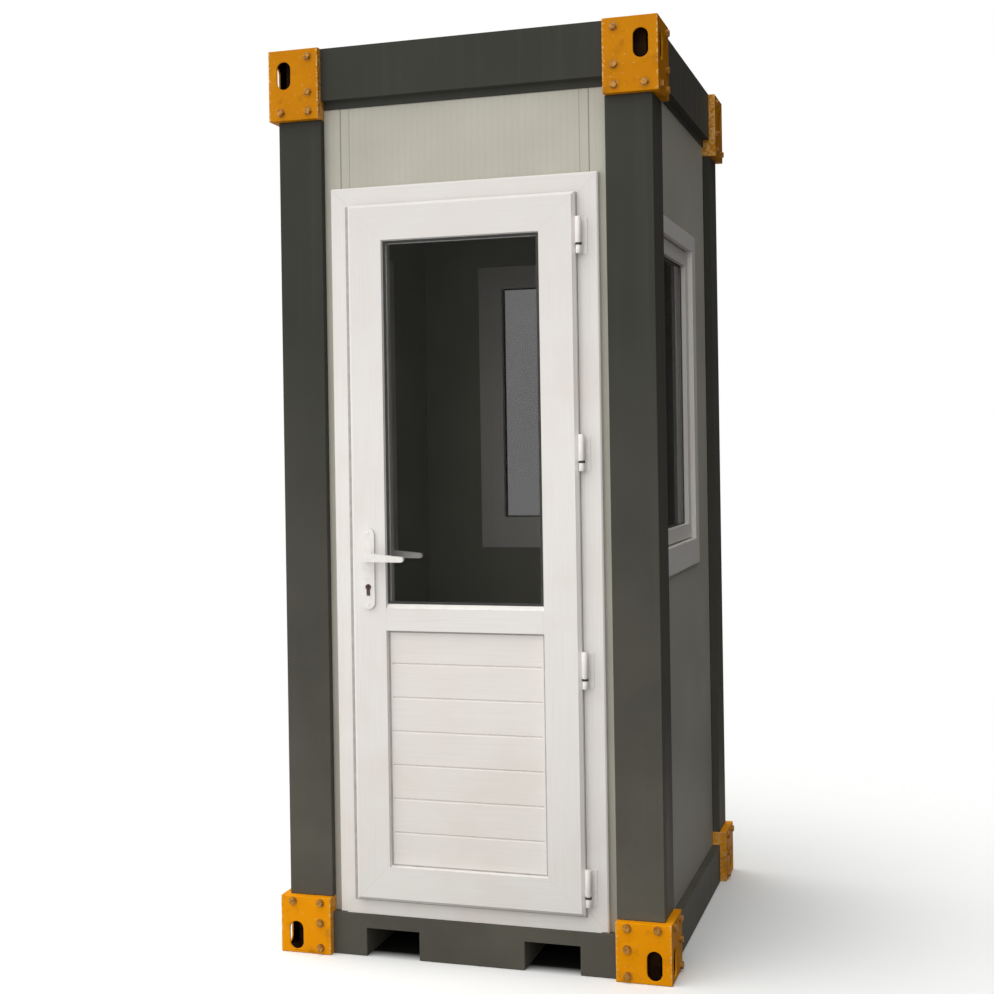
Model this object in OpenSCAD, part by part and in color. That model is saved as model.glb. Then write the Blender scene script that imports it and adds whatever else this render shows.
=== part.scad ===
// Security guard booth: a square one-person sentry box on a bolted steel frame.
// Hollow steel posts and beams meet in orange corner castings with lifting slots, insulated panels
// close the walls, a glazed plastic door with a lever handle hangs on four lift-off hinges, and
// three plastic windows light the cabin. Fork pockets run under the floor from front to rear.
// All lengths are millimetres. The origin is on the ground under the middle of the booth,
// the door looks towards -Y and +Z is up.

/* [Overall] */
// Width over the corner castings
booth_w = 1150; // [1000:10:1600]
// Depth over the corner castings
booth_d = 1150; // [1000:10:1600]
// Height over the corner castings
booth_h = 2620; // [2400:5:2900]

/* [Corner castings] */
// Width of each casting face
casting_w = 155; // [130:1:180]
// Height of the upper castings
top_casting_h = 205; // [180:1:240]
// Height of the lower castings
bottom_casting_h = 163; // [140:1:200]
// Plate thickness of the castings
casting_wall = 6; // [4:0.5:10]
// How far the castings stand proud of the posts
casting_proud = 21; // [8:1:26]
// Width of the lifting slots
slot_w = 42; // [30:1:52]
// Length of the lifting slots
slot_l = 80; // [60:1:100]
// Slot centre from the outer edge of the casting
slot_in = 48; // [40:1:70]
// Upper slot centre below the roof line
top_slot_drop = 74; // [60:1:100]
// Lower slot centre above the ground
bottom_slot_rise = 50; // [45:1:70]

/* [Posts and beams] */
// Depth of the post from its face back to the wall panel
post_leg = 24; // [18:1:40]
// Sheet thickness of posts and upper beams
sheet = 4; // [3:0.5:6]
// Height of the upper beams
top_beam_h = 151; // [130:1:190]
// Depth of the upper beams
top_beam_depth = 60; // [50:1:80]
// Height of the drip lip under the upper beams
lip_h = 24; // [10:1:40]
// Height of the lower beams
bottom_beam_h = 120; // [105:1:160]
// Sheet thickness of the lower beams
channel_wall = 5; // [4:0.5:8]
// Depth of the foot flange of the lower beams
foot_flange = 60; // [40:1:80]

/* [Fork pockets] */
// Clear width of a fork pocket
pocket_w = 160; // [120:1:200]
// Clear height of a fork pocket
pocket_h = 80; // [70:1:86]
// Middle of each pocket from the end of the beam
pocket_in = 184; // [150:1:220]
// Sheet thickness of the pocket sides
pocket_wall = 4; // [3:0.5:6]

/* [Floor and roof] */
// Thickness of the floor board
floor_t = 28; // [18:1:28]
// Width of a floor joist
joist_w = 50; // [30:1:60]
// Middle of the outer joists from the end of the beam
joist_in = 35; // [30:1:60]
// Thickness of the ceiling panel
ceiling_t = 40; // [30:1:60]
// Roof ledge below the roof line
roof_drop = 65; // [50:1:80]
// Width of the roof ledge
roof_ledge = 30; // [20:1:40]
// Thickness of the roof sheet
roof_t = 2; // [1:0.5:4]
// Height of the roof ribs
rib_h = 25; // [15:1:35]
// Number of roof ribs
rib_count = 6; // [4:1:8]

/* [Walls] */
// Thickness of the wall panels
wall_t = 50; // [40:1:60]

/* [Door] */
// Clear strip between the door frame and each post
frame_clear = 23; // [10:1:40]
// Height of the wall over the door frame
over_door = 257; // [200:1:320]
// How far the frame trim laps over the wall
frame_lap = 20; // [10:1:25]
// Width of the frame jambs up to the rebate
frame_side = 68; // [55:1:75]
// Height of the frame head up to the rebate
frame_head = 62; // [50:1:75]
// Height of the frame sill up to the rebate
frame_foot = 55; // [45:1:70]
// Width of the inner stop of the frame
stop_w = 20; // [12:1:25]
// How far the frame stands proud of the wall panel
frame_proud = 19; // [12:1:30]
// Slope worked on the outer edges of the door frame
frame_slope = 4; // [1:0.5:8]
// How far the leaf flange laps over the frame
leaf_lap = 7; // [5:1:10]
// Working gap round the leaf
leaf_gap = 6; // [5:0.5:8]
// Side gap between leaf and frame
leaf_side_gap = 9; // [8:0.5:12]
// Thickness of the leaf flange
flange_t = 21; // [12:1:26]
// Slope worked on the front edges of the leaf
leaf_slope = 9; // [3:1:10]
// Thickness of the leaf behind its flange
leaf_body_t = 49; // [42:1:54]
// Width of the leaf stiles
stile_w = 103; // [85:1:115]
// Height of the top rail
top_rail = 104; // [90:1:125]
// Height of the bottom rail
bottom_rail = 99; // [75:1:110]
// Underside of the middle rail above the leaf bottom
mid_rail_z = 773; // [650:1:850]
// Height of the middle rail
mid_rail = 62; // [50:1:90]
// Width of the outer beads at the sides and the top
bead_w = 3; // [2:0.5:8]
// Height of the outer bead under the glass
sill_bead = 14; // [8:1:20]
// Width of the inner beads
inner_bead = 12; // [8:1:16]
// Depth of the pane groove
groove = 6; // [4:1:9]
// Thickness of the glass
glass_t = 6; // [4:1:10]
// Glass behind the leaf face
glass_in = 10; // [6:1:30]
// Number of boards in the lower panel
board_count = 7; // [4:1:10]
// Thickness of the lower panel
infill_t = 20; // [12:1:24]
// Lower panel behind the leaf face
infill_in = 14; // [8:1:24]
// Depth of the joints between the boards
board_joint = 5; // [1:0.5:6]

/* [Hinges] */
// Radius of the hinge barrels
barrel_r = 8; // [7:0.5:10]
// Radius of the hinge pins
pin_r = 4; // [3:0.5:5]
// Clearance round the hinge pins
pin_clear = 0.3; // [0.2:0.1:0.6]
// Hinge axis beside the leaf edge
axis_out = 10; // [9:0.5:14]
// Height of the lower hinge knuckle
low_knuckle = 24; // [18:1:30]
// Height of the upper hinge knuckle
high_knuckle = 74; // [50:1:90]
// Height of the lowest hinge above the leaf bottom
first_hinge = 52; // [40:1:120]
// Highest hinge below the leaf top
last_hinge = 147; // [120:1:250]
// Number of hinges
hinge_count = 4; // [2:1:4]
// Width of the hinge plate on the frame
hinge_foot = 24; // [18:1:30]
// Thickness of the hinge plate
hinge_plate = 3; // [2:0.5:5]
// Depth over which a hinge tab holds on the leaf edge
tab_hold = 6; // [4:0.5:8]

/* [Handle] */
// Handle axis from the lock edge of the leaf
handle_in = 53; // [45:1:60]
// Handle axis above the leaf bottom
handle_z = 984; // [900:1:1050]
// Width of the back plate
plate_w = 38; // [32:1:42]
// Height of the back plate
plate_h = 230; // [200:1:250]
// Thickness of the back plate
plate_t = 8; // [5:0.5:12]
// Handle axis below the top of the back plate
plate_drop = 80; // [60:1:100]
// Length of the lever from its axis
lever_l = 122; // [100:1:140]
// Height of the lever at its root
lever_root = 26; // [20:1:30]
// Height of the lever at its tip
lever_tip = 15; // [12:1:20]
// Thickness of the lever grip
lever_t = 14; // [10:1:18]
// Stand-off of the lever grip from the plate
lever_off = 27; // [22:1:40]
// Radius of the lever neck
neck_r = 9; // [7:0.5:11]
// Side of the square spindle
spindle = 8; // [7:0.5:10]
// Keyhole below the handle axis
key_drop = 87; // [72:1:92]
// Radius of the lock cylinder
key_r = 8.5; // [8:0.5:10]
// Width of the lock cylinder below its round
key_web = 10; // [8:0.5:12]
// Height of the lock cylinder
key_h = 33; // [28:1:36]
// Width of the key slit
key_slit = 2.5; // [1.5:0.5:4]

/* [Windows] */
// Width over the window trim
window_w = 610; // [450:5:640]
// Wall above the window trim
window_drop = 354; // [250:1:600]
// Window sill above the ground
window_z = 1078; // [900:1:1200]
// Gap between the front post and the trim of a side window
window_front = 10; // [5:1:110]
// How far the trim laps over the wall
window_lap = 25; // [10:1:30]
// How far the trim stands proud of the wall
window_proud = 8; // [4:1:20]
// Slope worked on the edges of the window trim
trim_slope = 3; // [1:0.5:4]
// Width of the window frame at the sides
window_side = 60; // [50:1:75]
// Height of the window frame at the top
window_top = 52; // [45:1:75]
// Height of the window frame at the sill
window_sill = 82; // [60:1:100]
// Width of the sash members
sash_w = 50; // [40:1:60]
// Sash face behind the frame face
sash_in = 14; // [6:1:20]
// Thickness of the sash
sash_t = 36; // [28:1:40]
// Shadow gap round the sash
sash_gap = 5; // [3:0.5:8]
// Depth of the shadow gap
sash_gap_depth = 20; // [10:1:26]

/* [Hidden] */
$fn = 64;
over = 1;
half_w = booth_w / 2;
half_d = booth_d / 2;
casting_leg = casting_proud + post_leg;
plate_slot_in = (casting_w + casting_leg) / 2;
face_x = half_w - casting_proud;
face_y = half_d - casting_proud;
post_w = casting_w - casting_proud;
post_z0 = bottom_casting_h;
post_z1 = booth_h - top_casting_h;
beam_len_x = booth_w - 2 * casting_w;
beam_len_y = booth_d - 2 * casting_w;
wall_x = face_x - post_leg;
wall_y = face_y - post_leg;
room_x = wall_x - wall_t;
room_y = wall_y - wall_t;
wall_z0 = bottom_beam_h;
wall_z1 = booth_h - top_beam_h;
floor_z0 = bottom_beam_h - floor_t;
sill_depth = post_leg + wall_t;
tunnel_reach = face_y - channel_wall;
joist_reach = face_y - foot_flange;
ring_x = face_x - top_beam_depth;
ring_y = face_y - top_beam_depth;
ledge_z = booth_h - roof_drop;
roof_z = ledge_z + sheet;
pocket_x = beam_len_x / 2 - pocket_in;
joist_x = beam_len_x / 2 - joist_in;
rib_pitch = 2 * ring_x / rib_count;
rib_shares = [0, 0.3, 0.4, 0.6, 0.7];

frame_x = beam_len_x / 2 - frame_clear;
frame_z0 = bottom_beam_h;
frame_z1 = wall_z1 - over_door;
frame_y0 = -wall_y - frame_proud;
hole_x = frame_x - frame_lap;
hole_z1 = frame_z1 - frame_lap;
rebate_x = frame_x - frame_side;
rebate_z0 = frame_z0 + frame_foot;
rebate_z1 = frame_z1 - frame_head;
leaf_x = rebate_x + leaf_lap;
leaf_z0 = rebate_z0 - leaf_lap;
leaf_z1 = rebate_z1 + leaf_lap;
flange_y1 = frame_y0 - leaf_gap;
leaf_y0 = flange_y1 - flange_t;
leaf_y1 = flange_y1 + leaf_body_t;
body_x = rebate_x - leaf_side_gap;
body_z0 = rebate_z0 + leaf_side_gap;
body_z1 = rebate_z1 - leaf_side_gap;
stop_y = leaf_y1 + leaf_gap;
stop_x = rebate_x - stop_w;
stop_z0 = rebate_z0 + stop_w;
stop_z1 = rebate_z1 - stop_w;
light_x = leaf_x - stile_w;
light_z1 = leaf_z1 - top_rail;
mid_z0 = leaf_z0 + mid_rail_z;
light_z0 = mid_z0 + mid_rail;
infill_z0 = leaf_z0 + bottom_rail;
glass_y = leaf_y0 + glass_in;
infill_y = leaf_y0 + infill_in;
board_h = (mid_z0 - infill_z0) / board_count;

axis_x = leaf_x + axis_out;
axis_y = leaf_y0 + barrel_r / 2;
tab_y1 = leaf_y0 + leaf_slope + tab_hold;
hinge_z0 = leaf_z0 + first_hinge;
hinge_step = (leaf_z1 - last_hinge - hinge_z0) / (hinge_count - 1);
knuckle_gap = 3;

handle_x = -leaf_x + handle_in;
lever_z = leaf_z0 + handle_z;
plate_z1 = lever_z + plate_drop;
plate_z0 = plate_z1 - plate_h;
key_z = lever_z - key_drop;
tip_x = handle_x + lever_l - lever_tip / 2;
tip_z = lever_z - (lever_root - lever_tip) / 2;
key_reach = 2;

window_h = wall_z1 - window_drop - window_z;
window_shift = beam_len_y / 2 - window_w / 2 - window_front;
pane_x = window_w / 2 - window_side - sash_w;
sash_x = window_w / 2 - window_side;
sash_z0 = window_z + window_sill;
sash_z1 = window_z + window_h - window_top;
pane_z0 = sash_z0 + sash_w;
pane_z1 = sash_z1 - sash_w;
cut_x = window_w / 2 - window_lap;
cut_z0 = window_z + window_lap;
cut_z1 = window_z + window_h - window_lap;
sash_back = sash_in + sash_t;
window_depth = window_proud + wall_t;
pane_in = sash_in + (sash_t - glass_t) / 2;

steel = "#4b4943";
orange = "#d98c14";
panel = "#b5b0a3";
plastic = "#e4e0da";
glass = "#2a2c28";
wood = "#9a7a55";
zinc = "#a8aaa8";

// Box from one corner to the other
module span(lo, hi) {
    translate(lo)
        cube(hi - lo);
}

// Puts a shape of the rear right corner into the corner with these signs
module corner(sx, sy) {
    mirror([sx < 0 ? 1 : 0, 0, 0])
        mirror([0, sy < 0 ? 1 : 0, 0])
            children();
}

// Angle outline in plan with its outer corner at x, y, shrunk by an inset
function angle_plan(x, y, w, leg, inset) = [
    [x - inset, y - inset],
    [x - w + inset, y - inset],
    [x - w + inset, y - leg + inset],
    [x - leg + inset, y - leg + inset],
    [x - leg + inset, y - w + inset],
    [x - inset, y - w + inset]
];

// Round-ended slot shape, long way along the second axis
module slot_plan(w, l) {
    straight = l - w;
    square([w, straight], center = true);
    for (end = [-straight / 2, straight / 2])
        translate([0, end])
            circle(d = w);
}

// Hollow angle post between two castings
module post() {
    color(steel)
        translate([0, 0, post_z0])
            linear_extrude(post_z1 - post_z0)
                difference() {
                    polygon(angle_plan(face_x, face_y, post_w, post_leg, 0));
                    polygon(angle_plan(face_x, face_y, post_w, post_leg, sheet));
                }
}

// Corner casting: hollow angle with a square end plate and a slot in each open side
module casting(z0, z1, plate_z, slot_z) {
    color(orange)
        difference() {
            union() {
                translate([0, 0, z0])
                    linear_extrude(z1 - z0)
                        polygon(angle_plan(half_w, half_d, casting_w, casting_leg, 0));
                translate([half_w - casting_w, half_d - casting_w, plate_z])
                    cube([casting_w, casting_w, casting_wall]);
            }
            translate([0, 0, z0 + casting_wall])
                linear_extrude(z1 - z0 - 2 * casting_wall)
                    polygon(angle_plan(half_w, half_d, casting_w, casting_leg, casting_wall));
            translate([half_w - casting_wall - over, half_d - slot_in, slot_z])
                rotate([90, 0, 90])
                    linear_extrude(casting_wall + 2 * over)
                        slot_plan(slot_w, slot_l);
            translate([half_w - slot_in, half_d + over, slot_z])
                rotate([90, 0, 0])
                    linear_extrude(casting_wall + 2 * over)
                        slot_plan(slot_w, slot_l);
            translate([half_w - plate_slot_in, half_d - plate_slot_in, plate_z - over])
                linear_extrude(casting_wall + 2 * over)
                    rotate([0, 0, 90])
                        slot_plan(slot_w, slot_l);
        }
}

module top_casting() {
    casting(booth_h - top_casting_h, booth_h, booth_h - casting_wall, booth_h - top_slot_drop);
}

module bottom_casting() {
    casting(0, bottom_casting_h, 0, bottom_slot_rise);
}

// Runs a section drawn in the Y-Z plane along X
module run(len) {
    translate([-len / 2, 0, 0])
        rotate([90, 0, 90])
            linear_extrude(len)
                children();
}

// Block whose front edges slope back all round
module sloped_block(half, y0, y1, z0, z1, slope) {
    intersection() {
        translate([0, 0, z0])
            linear_extrude(z1 - z0)
                polygon([[-half, y1], [-half, y0 + slope], [-half + slope, y0],
                         [half - slope, y0], [half, y0 + slope], [half, y1]]);
        run(2 * half)
            polygon([[y1, z0], [y1, z1], [y0 + slope, z1],
                     [y0, z1 - slope], [y0, z0 + slope], [y0 + slope, z0]]);
    }
}

// Upper ring beam: closed section with a drip lip below and a roof ledge inside
module top_beam(face, len) {
    color(steel)
        run(len) {
            difference() {
                translate([-face, wall_z1])
                    square([top_beam_depth, top_beam_h]);
                translate([-face + sheet, wall_z1 + sheet])
                    square([top_beam_depth - 2 * sheet, top_beam_h - 2 * sheet]);
            }
            translate([-face + post_leg - sheet, wall_z1 - lip_h])
                square([sheet, lip_h + sheet]);
            translate([-face + top_beam_depth - sheet, ledge_z])
                square([roof_ledge + sheet, sheet]);
        }
}

// Lower ring beam: channel with a wide top flange that carries the wall
module bottom_beam(face, len) {
    run(len) {
        translate([-face, 0])
            square([channel_wall, bottom_beam_h]);
        translate([-face, bottom_beam_h - channel_wall])
            square([sill_depth, channel_wall]);
        translate([-face, 0])
            square([foot_flange, channel_wall]);
    }
}

// Lower beam with the two fork pockets cut through it
module pocket_beam() {
    color(steel)
        difference() {
            bottom_beam(face_y, beam_len_x);
            for (side = [-1, 1]) {
                span([side * pocket_x - pocket_w / 2, -half_d, -over],
                     [side * pocket_x + pocket_w / 2, -face_y + foot_flange + over, pocket_h]);
                span([side * pocket_x - pocket_w / 2 - pocket_wall, -face_y + channel_wall, -over],
                     [side * pocket_x + pocket_w / 2 + pocket_wall, -face_y + foot_flange + over, floor_z0]);
            }
        }
}

module plain_beam() {
    color(steel)
        bottom_beam(face_x, beam_len_y);
}

module fork_tunnels() {
    color(steel)
        for (side = [-1, 1])
            difference() {
                span([side * pocket_x - pocket_w / 2 - pocket_wall, -tunnel_reach, 0],
                     [side * pocket_x + pocket_w / 2 + pocket_wall, tunnel_reach, floor_z0]);
                span([side * pocket_x - pocket_w / 2, -tunnel_reach - over, -over],
                     [side * pocket_x + pocket_w / 2, tunnel_reach + over, pocket_h]);
            }
}

module floor_joists() {
    color(steel)
        for (x = [-joist_x, 0, joist_x])
            difference() {
                span([x - joist_w / 2, -joist_reach, 0],
                     [x + joist_w / 2, joist_reach, floor_z0]);
                span([x - joist_w / 2 + sheet, -joist_reach - over, sheet],
                     [x + joist_w / 2 - sheet, joist_reach + over, floor_z0 - sheet]);
            }
}

module floor_board() {
    color(wood)
        span([-room_x, -room_y, floor_z0], [room_x, room_y, bottom_beam_h]);
}

module ceiling_panel() {
    color(panel)
        span([-ring_x, -ring_y, wall_z1], [ring_x, ring_y, wall_z1 + ceiling_t]);
}

// Line of the ribbed roof in section, raised by an offset
function roof_line(up) = [
    for (i = [0 : rib_count - 1])
        for (k = [0 : len(rib_shares) - 1])
            [-ring_x + (i + rib_shares[k]) * rib_pitch, roof_z + up + (k == 2 || k == 3 ? rib_h : 0)]
];

function turned(list) = [for (i = [len(list) - 1 : -1 : 0]) list[i]];

// Ribbed roof inside the upper beams, notched clear of the castings
module roof_sheet() {
    color(zinc)
        difference() {
            translate([0, ring_y, 0])
                rotate([90, 0, 0])
                    linear_extrude(2 * ring_y)
                        polygon(concat(
                            roof_line(0),
                            [[ring_x, roof_z], [ring_x, roof_z + roof_t]],
                            turned(roof_line(roof_t))
                        ));
            for (sx = [-1, 1])
                for (sy = [-1, 1])
                    corner(sx, sy)
                        span([half_w - casting_w, half_d - casting_w, ledge_z], [half_w, half_d, booth_h]);
        }
}

// Opening for a window in a wall that faces -Y
module window_hole(face) {
    span([-cut_x, -face - over, cut_z0], [cut_x, -face + wall_t + over, cut_z1]);
}

// Side wall with its window moved along it by a shift
module side_wall(shift) {
    color(panel)
        difference() {
            span([-room_y, -wall_x, wall_z0], [room_y, -room_x, wall_z1]);
            translate([shift, 0, 0])
                window_hole(wall_x);
        }
}

module rear_wall() {
    color(panel)
        rotate([0, 0, 180])
            difference() {
                span([-wall_x, -wall_y, wall_z0], [wall_x, -room_y, wall_z1]);
                window_hole(wall_y);
            }
}

// Narrow wall panel between a post and the door frame
module front_strip() {
    color(panel)
        span([hole_x, -wall_y, wall_z0], [wall_x, -room_y, wall_z1]);
}

module over_door_panel() {
    color(panel)
        span([-hole_x, -wall_y, hole_z1], [hole_x, -room_y, wall_z1]);
}

module door_frame() {
    color(plastic)
        difference() {
            union() {
                sloped_block(frame_x, frame_y0, -wall_y, frame_z0, frame_z1, frame_slope);
                span([-hole_x, frame_y0, frame_z0], [hole_x, -room_y, hole_z1]);
            }
            span([-rebate_x, frame_y0 - over, rebate_z0], [rebate_x, stop_y, rebate_z1]);
            span([-stop_x, frame_y0 - over, stop_z0], [stop_x, -room_y + over, stop_z1]);
        }
}

// Groove-filling outline of the pane in the upper opening
module pane_block() {
    span([-light_x - groove, glass_y, light_z0 - groove],
         [light_x + groove, glass_y + glass_t, light_z1 + groove]);
}

module infill_block() {
    span([-light_x - groove, infill_y, infill_z0 - groove],
         [light_x + groove, infill_y + infill_t, mid_z0 + groove]);
}

// Outline of the lock cylinder
module key_plan() {
    circle(r = key_r);
    translate([-key_web / 2, key_r - key_h])
        square([key_web, key_h - key_r]);
}

// Runs a shape drawn in the X-Z plane from one depth to another
module through(y0, y1) {
    translate([0, y1, 0])
        rotate([90, 0, 0])
            linear_extrude(y1 - y0)
                children();
}

module door_leaf() {
    color(plastic)
        difference() {
            union() {
                sloped_block(leaf_x, leaf_y0, flange_y1, leaf_z0, leaf_z1, leaf_slope);
                span([-body_x, leaf_y0, body_z0], [body_x, leaf_y1, body_z1]);
            }
            span([-light_x, leaf_y0 - over, light_z0], [light_x, leaf_y1 + over, light_z1]);
            span([-light_x, leaf_y0 - over, infill_z0], [light_x, leaf_y1 + over, mid_z0]);
            pane_block();
            infill_block();
            through(leaf_y0 - over, leaf_y1 + over)
                translate([handle_x, lever_z])
                    circle(d = 2 * spindle);
            through(leaf_y0 - over, leaf_y1 + over)
                translate([handle_x, key_z])
                    key_plan();
        }
}

module door_glass() {
    color(glass)
        pane_block();
}

// Wedge section of a bead that leans from the leaf face to the pane
module bead_side(half, y_face, y_pane, z0, z1, w) {
    translate([0, 0, z0])
        linear_extrude(z1 - z0)
            polygon([[-half, y_face], [-half + w, y_pane], [-half, y_pane]]);
}

// Beads round one face of a pane, the lowest with its own height
module bead_ring(half, y_face, y_pane, z0, z1, w, low) {
    bead_side(half, y_face, y_pane, z0, z1, w);
    mirror([1, 0, 0])
        bead_side(half, y_face, y_pane, z0, z1, w);
    for (edge = [[z0, low], [z1, -w]])
        run(2 * half)
            polygon([[y_face, edge[0]], [y_pane, edge[0] + edge[1]], [y_pane, edge[0]]]);
}

module door_beads() {
    color(plastic) {
        bead_ring(light_x, leaf_y0 + bead_w / 2, glass_y, light_z0, light_z1, bead_w, sill_bead);
        bead_ring(light_x, leaf_y1 - bead_w / 2, glass_y + glass_t, light_z0, light_z1, inner_bead, inner_bead);
        bead_ring(light_x, leaf_y0 + bead_w / 2, infill_y, infill_z0, mid_z0, bead_w, bead_w);
        bead_ring(light_x, leaf_y1 - bead_w / 2, infill_y + infill_t, infill_z0, mid_z0, inner_bead, inner_bead);
    }
}

// Lower panel of level boards with a joint between each two on both faces
module door_infill() {
    color(plastic)
        difference() {
            infill_block();
            for (i = [1 : board_count - 1])
                for (y = [infill_y, infill_y + infill_t])
                    translate([0, y, infill_z0 + i * board_h])
                        rotate([45, 0, 0])
                            cube([2 * light_x - 2 * inner_bead, board_joint, board_joint], center = true);
        }
}

// Lower half of a hinge with the pin, on the door frame
module hinge_frame_half(z) {
    translate([axis_x, axis_y, z - low_knuckle])
        cylinder(r = barrel_r, h = low_knuckle);
    translate([axis_x, axis_y, z - low_knuckle])
        cylinder(r = pin_r, h = low_knuckle + high_knuckle);
    span([axis_x - barrel_r / 2, axis_y, z - low_knuckle], [axis_x + barrel_r, frame_y0, z]);
    span([axis_x - barrel_r / 2, frame_y0 - hinge_plate, z - low_knuckle],
         [axis_x - barrel_r / 2 + hinge_foot, frame_y0, z + high_knuckle]);
}

// Upper half of a hinge, on the edge of the leaf
module hinge_leaf_half(z) {
    difference() {
        union() {
            translate([axis_x, axis_y, z + knuckle_gap])
                cylinder(r = barrel_r, h = high_knuckle);
            span([leaf_x, axis_y, z + knuckle_gap], [axis_x, tab_y1, z + knuckle_gap + high_knuckle]);
        }
        translate([axis_x, axis_y, z])
            cylinder(r = pin_r + pin_clear, h = high_knuckle);
    }
}

module hinge_frame_halves() {
    color(plastic)
        for (i = [0 : hinge_count - 1])
            hinge_frame_half(hinge_z0 + i * hinge_step);
}

module hinge_leaf_halves() {
    color(plastic)
        for (i = [0 : hinge_count - 1])
            hinge_leaf_half(hinge_z0 + i * hinge_step);
}

// Back plate on one face of the leaf
module handle_plate(y0, y1) {
    through(y0, y1)
        difference() {
            translate([handle_x, (plate_z0 + plate_z1) / 2])
                slot_plan(plate_w, plate_h);
            translate([handle_x, lever_z])
                circle(r = neck_r + pin_clear);
            translate([handle_x, key_z])
                key_plan();
        }
}

module handle_plates() {
    color(plastic) {
        handle_plate(leaf_y0 - plate_t, leaf_y0);
        handle_plate(leaf_y1, leaf_y1 + plate_t);
    }
}

module key_cylinder() {
    color(zinc)
        difference() {
            through(leaf_y0 - plate_t - key_reach, leaf_y1 + plate_t + key_reach)
                translate([handle_x, key_z])
                    key_plan();
            for (y = [leaf_y0 - plate_t - key_reach, leaf_y1 + plate_t + key_reach])
                translate([handle_x, y, key_z])
                    cube([key_slit, key_r, key_r], center = true);
        }
}

// Tapered grip of the lever, lying from the axis towards the hinges with a level underside
module lever_grip(y0, y1) {
    through(y0, y1) {
        translate([handle_x, lever_z])
            circle(d = lever_root);
        translate([tip_x, tip_z])
            circle(d = lever_tip);
        polygon([
            [handle_x, lever_z - lever_root / 2],
            [tip_x, tip_z - lever_tip / 2],
            [tip_x, tip_z + lever_tip / 2],
            [handle_x, lever_z + lever_root / 2]
        ]);
    }
}

module lever_set() {
    grip_y0 = leaf_y0 - plate_t - lever_off;
    grip_y1 = leaf_y1 + plate_t + lever_off;
    color(plastic) {
        lever_grip(grip_y0 - lever_t, grip_y0);
        lever_grip(grip_y1, grip_y1 + lever_t);
        through(grip_y0 - lever_t / 2, leaf_y0)
            translate([handle_x, lever_z])
                circle(r = neck_r);
        through(leaf_y1, grip_y1 + lever_t / 2)
            translate([handle_x, lever_z])
                circle(r = neck_r);
        through(leaf_y0 - over, leaf_y1 + over)
            translate([handle_x, lever_z])
                square(spindle, center = true);
    }
}

// Window frame in a wall whose outer face is at -face
module window_frame(face) {
    out = -face - window_proud;
    back = -face + wall_t;
    color(plastic)
        difference() {
            union() {
                sloped_block(window_w / 2, out, -face, window_z, window_z + window_h, trim_slope);
                span([-cut_x, out, cut_z0], [cut_x, back, cut_z1]);
            }
            span([-sash_x, out - over, sash_z0], [sash_x, out + sash_back, sash_z1]);
            span([-pane_x, out - over, pane_z0], [pane_x, back + over, pane_z1]);
        }
}

// Sash held in the window frame, with a shadow gap round its face
module window_sash(face) {
    out = -face - window_proud + sash_in;
    color(plastic)
        difference() {
            union() {
                span([-sash_x, out + sash_gap_depth, sash_z0], [sash_x, out + sash_t, sash_z1]);
                span([-sash_x + sash_gap, out, sash_z0 + sash_gap], [sash_x - sash_gap, out + sash_t, sash_z1 - sash_gap]);
            }
            span([-pane_x, out - over, pane_z0], [pane_x, out + sash_t + over, pane_z1]);
            pane(face);
        }
}

module pane(face) {
    out = -face - window_proud + pane_in;
    span([-pane_x - groove, out, pane_z0 - groove], [pane_x + groove, out + glass_t, pane_z1 + groove]);
}

// Sets one window into the left, the right and the rear wall
module at_windows() {
    rotate([0, 0, -90])
        translate([window_shift, 0, 0])
            children(0);
    rotate([0, 0, 90])
        translate([-window_shift, 0, 0])
            children(0);
    rotate([0, 0, 180])
        children(1);
}

module window_frames() {
    at_windows() {
        window_frame(wall_x);
        window_frame(wall_y);
    }
}

module window_sashes() {
    at_windows() {
        window_sash(wall_x);
        window_sash(wall_y);
    }
}

module window_panes() {
    color(glass)
        at_windows() {
            pane(wall_x);
            pane(wall_y);
        }
}

corner(-1, -1) post();  // post_front_left
corner(1, -1) post();  // post_front_right
corner(-1, 1) post();  // post_rear_left
corner(1, 1) post();  // post_rear_right
top_beam(face_y, beam_len_x);  // top_beam_front
rotate([0, 0, 180]) top_beam(face_y, beam_len_x);  // top_beam_rear
rotate([0, 0, -90]) top_beam(face_x, beam_len_y);  // top_beam_left
rotate([0, 0, 90]) top_beam(face_x, beam_len_y);  // top_beam_right
pocket_beam();  // bottom_beam_front
rotate([0, 0, 180]) pocket_beam();  // bottom_beam_rear
rotate([0, 0, -90]) plain_beam();  // bottom_beam_left
rotate([0, 0, 90]) plain_beam();  // bottom_beam_right
corner(-1, -1) top_casting();  // top_casting_front_left
corner(1, -1) top_casting();  // top_casting_front_right
corner(-1, 1) top_casting();  // top_casting_rear_left
corner(1, 1) top_casting();  // top_casting_rear_right
corner(-1, -1) bottom_casting();  // bottom_casting_front_left
corner(1, -1) bottom_casting();  // bottom_casting_front_right
corner(-1, 1) bottom_casting();  // bottom_casting_rear_left
corner(1, 1) bottom_casting();  // bottom_casting_rear_right
fork_tunnels();
floor_joists();
floor_board();
ceiling_panel();
roof_sheet();
rotate([0, 0, -90]) side_wall(window_shift);  // left_wall
rotate([0, 0, 90]) side_wall(-window_shift);  // right_wall
rear_wall();
mirror([1, 0, 0]) front_strip();  // front_strip_left
front_strip();  // front_strip_right
over_door_panel();
door_frame();
door_leaf();
door_glass();
door_beads();
door_infill();
hinge_frame_halves();
hinge_leaf_halves();
handle_plates();
key_cylinder();
lever_set();
window_frames();
window_sashes();
window_panes();
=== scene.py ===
"""Looks of the security guard booth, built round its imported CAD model. Metres, +Z up, the door towards -Y."""

from functools import partial

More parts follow.
